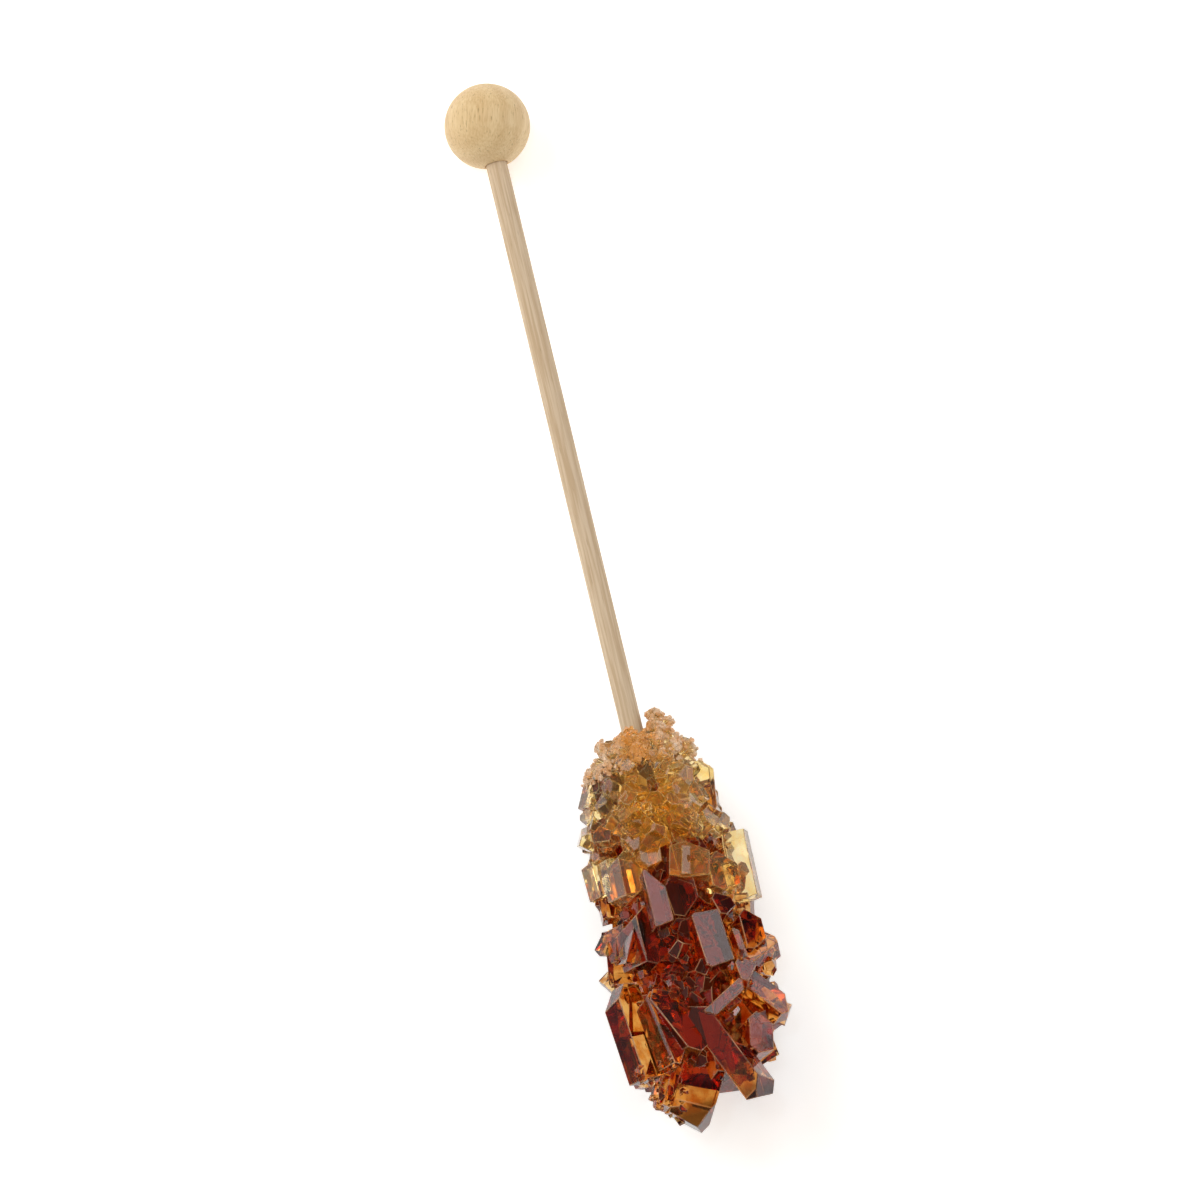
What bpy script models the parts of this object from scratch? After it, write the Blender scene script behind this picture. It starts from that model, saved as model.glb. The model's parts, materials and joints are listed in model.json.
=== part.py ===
# Rock candy stick: amber sugar crystals grown round one end of a wooden dowel, with a ball on the other.
# It lies on its back along Y, the ball at +Y, and rests on the crystals' underside and on the ball.
# Shapes are made in millimetres in the stick's own frame: X right, Y from the candy's tip up the stick
# and Z out of the candy's front. The empty "rest" lays them down and turns them into metres.

import math
import random

import bmesh
import bpy
from mathutils import Matrix, Vector

MM = 0.001

# Stick and ball
STICK_RADIUS = 1.5
STICK_START = 8.3
STICK_EDGE = 0.25
STICK_SIDES = 32
BALL_RADIUS = 6.0
BALL_CENTRE = 146.0
BALL_SIDES = 32
BALL_STEPS = 16
SOCKET_DEPTH = 7.0
FIT_GAP = 0.3

# Lie of the whole: height of the stick's axis under the candy, and what the ground takes off the ball
REST_STATION = 22.0
REST_HEIGHT = 9.9
BALL_FLAT = 0.12

# Sugar crystals lean by this much in cross-section, and their ends slope by END_SLOPE
SUGAR_LEAN = math.tan(math.radians(13.5))
END_SLOPE = 39.4
GOLDEN_TURN = 137.5
SEED = 22

# Stout crystals one above the other on the axis: stations they fill, step, length, width as a share
# of the reach, the most width at the narrow end as a share of the station, and thickness over width
CORE_STATIONS = (10.0, 50.0)
CORE_STEP = 5.4
CORE_LENGTH = 11.0
CORE_SHARE = 1.2
CORE_TAPER = 0.85
CORE_FLATNESS = (0.82, 0.95)

# Rings of crystals on the sides and the back: stations, step, number round, size, how deep they sit
# as a share of their thickness, and the cosine above which they would face the front
RING_STATIONS = (10.0, 50.0)
RING_STEP = 6.4
RING_COUNT = 6
RING_SIZE = (5.0, 10.5, 4.8)
RING_DEPTH = 0.42
RING_FRONT = 0.25

# Short crystals all round under the crust: stations, number, size, how close they crowd towards the
# crust, and how deep they sit
TOP_STATIONS = (40.0, 55.5)
TOP_COUNT = 72
TOP_SIZE = (2.9, 4.2, 3.0)
TOP_CROWDING = 1.1
TOP_DEPTH = 0.4

# Rise of the cuts that take the front edge off an end: cap at the tail and nose at the tip
CAP_RISE = 0.5
NOSE_RISE = 0.55

# How far the crystals reach from the axis at each station up the stick
REACH = (
    (0.0, 2.0), (3.0, 5.5), (9.0, 8.4), (18.0, 10.4),
    (30.0, 10.2), (44.0, 9.4), (51.0, 7.6), (58.7, 3.4),
)

# The crystals that give the front its look, from the tip up: middle, size (width, length, thickness),
# turn (swing, rise, roll) and, where they matter, the slopes of the ends
FRONT = {
    "tip prism": dict(
        at=(-1.9, 7.0, 2.3), size=(6.0, 14.6, 4.8), turn=(-29, 0, -10), ridge=0.28, tip=(14, 62), nose=2.8
    ),
    "tip step": dict(at=(-6.3, 6.0, 2.7), size=(2.6, 6.0, 3.4), turn=(-26, 4, 10), tip=(10, 20)),
    "tip sliver": dict(at=(-6.7, 7.0, 1.2), size=(2.2, 5.0, 3.4), turn=(-26, 4, 20), tip=(10, 20)),
    "low right prism": dict(
        at=(2.5, 8.8, 6.0), size=(4.0, 16.0, 4.5), turn=(22, 6, -38), tip=(26, 40), chamfer=0.7, nose=0.9
    ),
    "big left block": dict(
        at=(-9.6, 14.6, 2.9), size=(4.0, 13.8, 3.1), turn=(5, 0, 33), tip=(5, 8), tail=(50, 12)
    ),
    "left dark prism": dict(at=(-6.0, 13.5, 5.0), size=(2.4, 11.0, 4.2), turn=(9, 2, 17), tip=(30, 50)),
    "dark red prism": dict(at=(-4.4, 13.8, 4.7), size=(3.8, 11.0, 5.2), turn=(24, 3, 21), tip=(50, 10)),
    "low right block": dict(at=(6.3, 10.5, 3.0), size=(3.3, 6.0, 4.6), turn=(-11, 4, 10), tip=(46, 12)),
    "spear": dict(at=(7.7, 17.0, 2.8), size=(2.6, 12.0, 3.4), turn=(38, 2, 8), tip=(30, 50)),
    "pentagon": dict(at=(6.5, 18.5, 6.8), size=(2.7, 3.8, 4.4), turn=(6, 6, 6), tip=(36, 46)),
    "bar": dict(at=(3.2, 15.6, 6.9), size=(1.7, 7.0, 4.2), turn=(-59, 4, -4), tip=(10, 30)),
    "small square": dict(
        at=(0.8, 20.4, 7.4), size=(1.7, 2.1, 3.6), turn=(-39, 6, 6), tip=(8, 8), tail=(8, 8)
    ),
    "front plate": dict(
        at=(2.7, 23.6, 7.0), size=(3.8, 8.0, 5.6), turn=(4, 3, 5), ridge=-0.2, tip=(44, 4), tail=(33, 6)
    ),
    "strip": dict(at=(6.7, 21.5, 7.0), size=(0.9, 6.6, 2.6), turn=(5, 2, 8), tip=(20, 10)),
    "knuckle": dict(at=(8.5, 21.2, 2.7), size=(2.8, 8.0, 4.2), turn=(117, -2, 2), tip=(12, 24)),
    "right waist": dict(at=(8.2, 24.4, 4.0), size=(3.0, 5.8, 4.8), turn=(1, 4, 16), tip=(14, 30)),
    "left small slab": dict(
        at=(-8.2, 27.6, 0.9), size=(1.9, 4.9, 4.0), turn=(-6, 0, 22), tip=(4, 6), tail=(8, 4)
    ),
    "left waist": dict(at=(-5.3, 26.6, 3.9), size=(4.4, 8.4, 6.0), turn=(0, 2, 18), tip=(20, 30)),
    "left waist strip": dict(at=(-7.3, 26.6, 4.2), size=(1.2, 6.2, 4.0), turn=(-26, -3, 6), tip=(10, 20)),
    "spike": dict(at=(-0.9, 24.1, 7.0), size=(2.2, 4.6, 2.4), turn=(-14, 62, 20)),
    "right middle block": dict(at=(5.3, 28.4, 4.9), size=(2.6, 3.6, 4.2), turn=(16, 6, 18), tip=(30, 20)),
    "centre block": dict(at=(0.7, 30.7, 5.7), size=(3.8, 6.0, 5.0), turn=(6, 2, -9), tip=(30, 36)),
    "left plate": dict(
        at=(-2.8, 31.0, 6.6), size=(2.6, 8.2, 5.0), turn=(0, 3, -2), ridge=-0.1, tip=(4, 10), tail=(6, 55)
    ),
    "right amber block": dict(at=(6.2, 33.2, 4.6), size=(4.0, 5.6, 5.0), turn=(-2, 2, 14), tip=(30, 12)),
    "right slab": dict(
        at=(10.0, 34.0, 3.4), size=(3.5, 9.8, 3.0), turn=(-1, 0, -28), tip=(5, 4), tail=(4, 6), cap=1.6
    ),
    "top block": dict(
        at=(2.9, 35.1, 6.2), size=(5.6, 5.2, 5.4), turn=(-14, 4, -12), tip=(12, 4), tail=(14, 24)
    ),
    "top strip": dict(
        at=(2.2, 35.2, 7.8), size=(1.2, 4.2, 3.0), turn=(-14, 4, -1), tip=(4, 4), tail=(4, 4)
    ),
    "left clear slab": dict(
        at=(-9.4, 36.9, 1.0), size=(2.3, 5.2, 2.8), turn=(2, 0, 18), tip=(6, 12), tail=(10, 6)
    ),
    "left clear block": dict(
        at=(-7.9, 36.6, 2.7), size=(1.9, 4.8, 3.0), turn=(-2, 0, 20), tip=(10, 6), tail=(14, 10)
    ),
    "left gold block": dict(at=(-6.1, 35.6, 4.3), size=(3.2, 6.8, 4.6), turn=(-1, 2, 18), tip=(24, 34)),
    "upper plate": dict(at=(-2.6, 38.6, 5.9), size=(2.9, 6.4, 4.6), turn=(-6, 4, 6), tip=(50, 20)),
    "left point": dict(at=(-8.8, 43.0, -0.1), size=(2.9, 4.4, 4.2), turn=(-78, 0, 12)),
    "left pale stub": dict(at=(-8.0, 46.3, 0.0), size=(2.2, 3.2, 3.6), turn=(-12, 0, 10)),
    "left pale prism": dict(
        at=(-6.8, 49.3, 0.8), size=(2.5, 6.0, 3.4), turn=(-26, 0, 14), tip=(10, 30), tail=(4, 22)
    ),
    "upper left block": dict(
        at=(-4.5, 49.7, 3.0), size=(3.2, 4.4, 4.2), turn=(-8, 0, 14), tip=(20, 12), tail=(8, 16)
    ),
    "right dark stub": dict(at=(8.5, 40.7, 1.4), size=(2.0, 3.4, 3.2), turn=(36, 0, 8)),
    "right pale column": dict(at=(7.6, 46.1, 0.7), size=(2.8, 7.8, 4.6), turn=(-8, 0, -10), tip=(12, 24)),
}

# Lumps of small grains round the stick where it comes out, the right one standing highest:
# middle, spread and number of grains
CRUST = {
    "left lump": ((-2.7, 54.2, 0.6), 2.7, 10),
    "front lump": ((0.8, 53.8, 1.9), 2.3, 6),
    "back lump": ((0.4, 54.4, -2.0), 2.4, 7),
    "right lump": ((3.8, 56.7, 0.3), 2.1, 9),
    "right neck": ((3.4, 54.4, 0.4), 2.2, 6),
    "right shoulder": ((5.6, 52.2, 0.0), 2.3, 6),
}

# The three that bear on the ground, under the candy's weight
FEET = {
    "left foot": dict(at=(-4.6, 12.5, -7.2), size=(5.4, 9.6, 6.0), turn=(-14, 0, 170), tip=(20, 40)),
    "right foot": dict(at=(5.2, 16.0, -7.4), size=(5.6, 10.4, 5.8), turn=(18, 0, 186), tip=(30, 24)),
    "upper foot": dict(at=(-1.4, 34.6, -7.2), size=(6.2, 11.0, 6.0), turn=(6, 0, 184), tip=(12, 36)),
}


def reach(station):
    for (low, near), (high, far) in zip(REACH, REACH[1:]):
        if station <= high:
            return near + (far - near) * (station - low) / (high - low)
    return REACH[-1][1]


def slice_off(body, point, normal):
    everything = body.verts[:] + body.edges[:] + body.faces[:]
    cut = bmesh.ops.bisect_plane(
        body, geom=everything, dist=0.0005, plane_co=point, plane_no=normal, clear_outer=True
    )
    rim = [item for item in cut["geom_cut"] if isinstance(item, bmesh.types.BMEdge)]
    if rim:
        bmesh.ops.edgeloop_fill(body, edges=rim)


def crystal(size, ridge=0.0, tip=None, tail=None, chamfer=0.0, cap=0.0, nose=0.0):
    # A sugar crystal: a leaning block whose ends are roofs of two faces, the tip at -Y.
    # An end's slopes are those of its left and right face, and ridge moves the roof's edge sideways.
    # Chamfer, cap and nose cut that much off the front face at its left edge, its tail and its tip.
    width, length, thick = size
    body = bmesh.new()
    bmesh.ops.create_cube(body, size=1.0)
    for vert in body.verts:
        vert.co = Vector((vert.co.x * width, vert.co.y * length, vert.co.z * thick))
        vert.co.x += vert.co.z * SUGAR_LEAN
    for end, slopes in ((-1, tip or (END_SLOPE, END_SLOPE)), (1, tail or (END_SLOPE, END_SLOPE))):
        top = Vector((ridge * width, end * length / 2, 0.0))
        for side, slope in zip((-1, 1), slopes):
            angle = math.radians(slope)
            slice_off(body, top, Vector((side * math.sin(angle), end * math.cos(angle), 0.0)))
    if chamfer:
        corner = Vector((-width / 2 + chamfer, 0.0, thick / 2))
        slice_off(body, corner, Vector((-0.8, 0.0, 0.6)))
    for end, depth, rise in ((1, cap, CAP_RISE), (-1, nose, NOSE_RISE)):
        if depth:
            rim = Vector((0.0, end * (length / 2 - depth), thick / 2))
            slice_off(body, rim, Vector((0.0, end * rise, 1.0)).normalized())
    bmesh.ops.recalc_face_normals(body, faces=body.faces)
    return body


def turned_by(swing, rise, roll, around=0.0):
    # Swing turns the tip to the right, rise lifts it to the front and roll turns the face to the right.
    # Around carries the whole about the stick's axis.
    turn = Matrix.Rotation(math.radians(around), 4, "Y")
    turn = turn @ Matrix.Rotation(math.radians(swing), 4, "Z")
    turn = turn @ Matrix.Rotation(math.radians(-rise), 4, "X")
    return turn @ Matrix.Rotation(math.radians(roll), 4, "Y")


def core_blocks(chance):
    blocks = []
    station, last = CORE_STATIONS
    while station < last:
        across = min(CORE_TAPER * station, CORE_SHARE * reach(station))
        size = (across, CORE_LENGTH, across * chance.uniform(*CORE_FLATNESS))
        # An edge towards the front, so that no broad face shows between the front crystals
        roll = 45.0 + 90.0 * chance.randrange(4) + chance.uniform(-14, 14)
        turn = (chance.uniform(-12, 12), chance.uniform(-8, 8), roll)
        blocks.append(dict(at=(0.0, station, 0.0), size=size, turn=turn, tip=(20, 35), tail=(35, 20)))
        station += CORE_STEP
    return blocks


def round_blocks(chance):
    # They grow larger towards the tip
    blocks = []
    station, last = RING_STATIONS
    width, length, thick = RING_SIZE
    ring = 0
    while station < last:
        bulk = 1.0 - 0.01 * station
        for step in range(RING_COUNT):
            around = 360.0 / RING_COUNT * (step + 0.5 * (ring % 2)) + chance.uniform(-14, 14)
            size = (
                width * bulk * chance.uniform(0.7, 1.2),
                length * bulk * chance.uniform(0.7, 1.2),
                thick * bulk,
            )
            turn = (chance.uniform(-32, 32), chance.uniform(-4, 24), chance.uniform(-18, 18))
            slopes = (chance.uniform(8, 48), chance.uniform(8, 48))
            height = station + chance.uniform(-1.0, 2.0)
            out = reach(height) - RING_DEPTH * size[2] - chance.uniform(0.0, 0.8)
            facing = math.radians(around)
            if math.cos(facing) < RING_FRONT:
                place = (out * math.sin(facing), height, out * math.cos(facing))
                blocks.append(dict(at=place, size=size, turn=turn, around=around, tip=slopes))
        station += RING_STEP * bulk
        ring += 1
    return blocks


def top_blocks(chance):
    # They grow finer and finer up to the crust
    blocks = []
    first, last = TOP_STATIONS
    width, length, thick = TOP_SIZE
    for step in range(TOP_COUNT):
        station = first + (last - first) * ((step + 0.5) / TOP_COUNT) ** TOP_CROWDING
        around = step * GOLDEN_TURN + chance.uniform(-10, 10)
        bulk = 1.0 - 0.5 * (station - first) / (last - first)
        size = (
            width * bulk * chance.uniform(0.7, 1.3),
            length * bulk * chance.uniform(0.7, 1.3),
            thick * bulk,
        )
        turn = (chance.uniform(-60, 60), chance.uniform(0, 50), chance.uniform(-30, 30))
        out = 0.94 * reach(station) - TOP_DEPTH * size[2]
        facing = math.radians(around)
        place = (out * math.sin(facing), station, out * math.cos(facing))
        blocks.append(dict(at=place, size=size, turn=turn, around=around))
    return blocks


def crust_blocks(chance):
    blocks = []
    for middle, spread, count in CRUST.values():
        for step in range(count):
            aside = Vector([chance.uniform(-1, 1) for axis in range(3)]).normalized()
            size = [spread * chance.uniform(0.6, 0.9) for axis in range(3)]
            turn = [chance.uniform(0, 180) for axis in range(3)]
            blocks.append(dict(at=Vector(middle) + aside * spread * 0.65, size=size, turn=turn))
    return blocks


def block_mesh(at, size, turn, around=0.0, **shape):
    body = crystal(size, **shape)
    body.transform(Matrix.Translation(at) @ turned_by(*turn, around))
    mesh = bpy.data.meshes.new("crystal")
    body.to_mesh(mesh)
    body.free()
    return mesh


def add(name, mesh):
    thing = bpy.data.objects.new(name, mesh)
    bpy.context.scene.collection.objects.link(thing)
    return thing


def settle(thing):
    # Keeps the mesh as its modifiers leave it
    bpy.context.view_layer.update()
    seen = thing.evaluated_get(bpy.context.evaluated_depsgraph_get())
    mesh = bpy.data.meshes.new_from_object(seen)
    thing.modifiers.clear()
    thing.data = mesh


def grown_together(name, meshes):
    # One closed body out of many crystals
    pile = bpy.data.collections.new("pile")
    bpy.context.scene.collection.children.link(pile)
    whole = add(name, meshes[0])
    for mesh in meshes[1:]:
        pile.objects.link(bpy.data.objects.new("crystal", mesh))
    union = whole.modifiers.new("grow", "BOOLEAN")
    union.operation = "UNION"
    union.operand_type = "COLLECTION"
    union.collection = pile
    settle(whole)
    for thing in list(pile.objects):
        bpy.data.objects.remove(thing)
    bpy.data.collections.remove(pile)
    return whole


def cut_away(thing, cutter):
    boolean = thing.modifiers.new(cutter.name, "BOOLEAN")
    boolean.operation = "DIFFERENCE"
    boolean.object = cutter
    settle(thing)
    bpy.data.objects.remove(cutter)


def keep_largest(thing):
    # Drops the sealed hollows and the chips that a union or a cut leaves
    body = bmesh.new()
    body.from_mesh(thing.data)
    waiting = set(body.verts)
    groups = []
    while waiting:
        group = []
        ends = [waiting.pop()]
        while ends:
            vert = ends.pop()
            group.append(vert)
            others = {edge.other_vert(vert) for edge in vert.link_edges} & waiting
            waiting -= others
            ends.extend(others)
        groups.append(group)
    groups.sort(key=len)
    for group in groups[:-1]:
        bmesh.ops.delete(body, geom=group, context="VERTS")
    body.to_mesh(thing.data)
    body.free()


def turned(name, profile, sides):
    # A profile of (radius, station) points turned about the stick's axis
    body = bmesh.new()
    rows = [body.verts.new((radius, station, 0.0)) for radius, station in profile]
    edges = [body.edges.new(pair) for pair in zip(rows, rows[1:])]
    bmesh.ops.spin(
        body, geom=rows + edges, axis=(0, 1, 0), cent=(0, 0, 0), angle=math.tau, steps=sides, use_merge=True
    )
    bmesh.ops.remove_doubles(body, verts=body.verts, dist=0.001)
    bmesh.ops.recalc_face_normals(body, faces=body.faces)
    mesh = bpy.data.meshes.new(name)
    body.to_mesh(mesh)
    body.free()
    return add(name, mesh)


def ground_block(lay):
    # What lies under the surface that the candy rests on, seen in the stick's frame
    body = bmesh.new()
    bmesh.ops.create_cube(body, size=1.0)
    bmesh.ops.scale(body, vec=(60.0, 400.0, 20.0), verts=body.verts)
    bmesh.ops.translate(body, vec=(0.0, 0.0, -10.0), verts=body.verts)
    body.transform(lay.inverted())
    mesh = bpy.data.meshes.new("ground")
    body.to_mesh(mesh)
    body.free()
    return add("ground", mesh)


def make_candy():
    chance = random.Random(SEED)
    blocks = core_blocks(chance) + round_blocks(chance) + top_blocks(chance) + crust_blocks(chance)
    blocks += list(FRONT.values()) + list(FEET.values())
    candy = grown_together("candy", [block_mesh(**block) for block in blocks])
    bore = STICK_RADIUS + FIT_GAP
    bottom = STICK_START - FIT_GAP
    above = REACH[-1][0] + 10.0
    cut_away(candy, turned("bore", [(0.0, bottom), (bore, bottom), (bore, above), (0.0, above)], STICK_SIDES))
    return candy


def make_stick():
    end = BALL_CENTRE - BALL_RADIUS + SOCKET_DEPTH - FIT_GAP
    inner = STICK_RADIUS - STICK_EDGE
    start_ring = [(0.0, STICK_START), (inner, STICK_START), (STICK_RADIUS, STICK_START + STICK_EDGE)]
    end_ring = [(STICK_RADIUS, end - STICK_EDGE), (inner, end), (0.0, end)]
    return turned("stick", start_ring + end_ring, STICK_SIDES)


def make_ball():
    socket = STICK_RADIUS + FIT_GAP
    bottom = BALL_CENTRE - BALL_RADIUS + SOCKET_DEPTH
    mouth = math.asin(socket / BALL_RADIUS)
    outline = [(0.0, bottom), (socket, bottom)]
    for step in range(BALL_STEPS + 1):
        turn = mouth + (math.pi - mouth) * step / BALL_STEPS
        outline.append((BALL_RADIUS * math.sin(turn), BALL_CENTRE - BALL_RADIUS * math.cos(turn)))
    return turned("ball", outline, BALL_SIDES)


def laid_down():
    # The axis falls from the candy to the ball
    ball_height = BALL_RADIUS - BALL_FLAT
    fall = math.atan2(REST_HEIGHT - ball_height, BALL_CENTRE - REST_STATION)
    tilt = Matrix.Rotation(-fall, 4, "X")
    lift = ball_height - (tilt @ Vector((0.0, BALL_CENTRE, 0.0))).z
    return Matrix.Translation((0.0, 0.0, lift)) @ tilt


def centred(things, lay):
    # Moves the middle of the whole, seen from above, over the origin
    corners = [lay @ vert.co for thing in things for vert in thing.data.vertices]
    middle_x = (max(corner.x for corner in corners) + min(corner.x for corner in corners)) / 2
    middle_y = (max(corner.y for corner in corners) + min(corner.y for corner in corners)) / 2
    return Matrix.Scale(MM, 4) @ Matrix.Translation((-middle_x, -middle_y, 0.0)) @ lay


def finish(thing, name, colour, roughness, alpha=1.0):
    made = bpy.data.materials.new(name)
    made.use_nodes = True
    shader = made.node_tree.nodes["Principled BSDF"]
    shader.inputs["Base Color"].default_value = (*colour, 1.0)
    shader.inputs["Roughness"].default_value = roughness
    shader.inputs["Metallic"].default_value = 0.0
    shader.inputs["Alpha"].default_value = alpha
    made.diffuse_color = (*colour, 1.0)
    thing.data.materials.append(made)


for old in list(bpy.data.objects):
    bpy.data.objects.remove(old)

candy = make_candy()
stick = make_stick()
ball = make_ball()

lay = laid_down()
cut_away(candy, ground_block(lay))
cut_away(ball, ground_block(lay))
keep_largest(candy)

rest = add("rest", None)
rest.matrix_world = centred((candy, stick, ball), lay)
for thing in (candy, stick, ball):
    thing.parent = rest

finish(candy, "amber sugar", (0.42, 0.15, 0.03), 0.08, alpha=0.9)
finish(stick, "birch dowel", (0.62, 0.46, 0.30), 0.6)
finish(ball, "turned ball", (0.72, 0.53, 0.32), 0.5)
for thing in (stick, ball):
    thing.data.shade_smooth()
    thing.data.set_sharp_from_angle(angle=math.radians(35))
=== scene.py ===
# Rock candy stick: amber sugar crystals grown round a birch dowel that ends in a turned ball.
# It lies on its back on a pale table, the ball away from the viewer.
import json
import math
import random

import bmesh
import bpy
from mathutils import Matrix, Vector, noise
from mathutils.bvhtree import BVHTree

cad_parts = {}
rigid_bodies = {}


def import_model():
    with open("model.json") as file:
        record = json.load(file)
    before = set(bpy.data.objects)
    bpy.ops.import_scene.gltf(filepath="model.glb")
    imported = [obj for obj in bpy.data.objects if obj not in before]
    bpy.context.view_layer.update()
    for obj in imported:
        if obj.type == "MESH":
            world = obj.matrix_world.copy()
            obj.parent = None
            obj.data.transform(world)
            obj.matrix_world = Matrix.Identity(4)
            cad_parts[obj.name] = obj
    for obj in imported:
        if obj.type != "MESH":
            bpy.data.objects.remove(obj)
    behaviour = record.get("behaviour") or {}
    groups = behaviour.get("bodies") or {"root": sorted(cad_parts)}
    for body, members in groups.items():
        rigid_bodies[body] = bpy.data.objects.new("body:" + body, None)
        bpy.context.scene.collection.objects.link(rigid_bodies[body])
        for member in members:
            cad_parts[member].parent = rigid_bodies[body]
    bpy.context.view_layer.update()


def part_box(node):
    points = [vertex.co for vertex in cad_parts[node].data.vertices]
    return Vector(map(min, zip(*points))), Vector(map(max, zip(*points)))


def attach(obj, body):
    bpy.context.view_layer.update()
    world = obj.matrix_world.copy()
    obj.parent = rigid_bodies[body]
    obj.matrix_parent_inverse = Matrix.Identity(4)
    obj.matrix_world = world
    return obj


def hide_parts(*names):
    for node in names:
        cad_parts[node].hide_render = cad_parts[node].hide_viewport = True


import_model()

mm = 0.001

# How the whole lies: the dowel's axis is this high under the candy, and the ball is a little flat below.
# Shapes are made in the stick's own frame, in millimetres: X right, Y from the candy's tip up the
# stick and Z out of the candy's front.
lie = dict(station=22.0, height=9.9, ballFlat=0.12, stickMiddle=77.5)
wood = dict(dowelRadius=1.5, dowelStart=8.3, dowelEnd=146.7, ballRadius=6.0, ballStation=146.0)

# How far the crystals reach from the axis at each station up the stick
reachAt = (
    (0.0, 2.0), (3.0, 5.5), (9.0, 8.4), (18.0, 10.4),
    (30.0, 10.2), (44.0, 9.4), (51.0, 7.6), (58.7, 3.4),
)

# Sugar crystals lean by sugarLean in cross-section and end in roofs of endSlope degrees
growth = dict(sugarLean=math.tan(math.radians(13.5)), endSlope=39.4, goldenTurn=137.5, seed=22)

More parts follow.
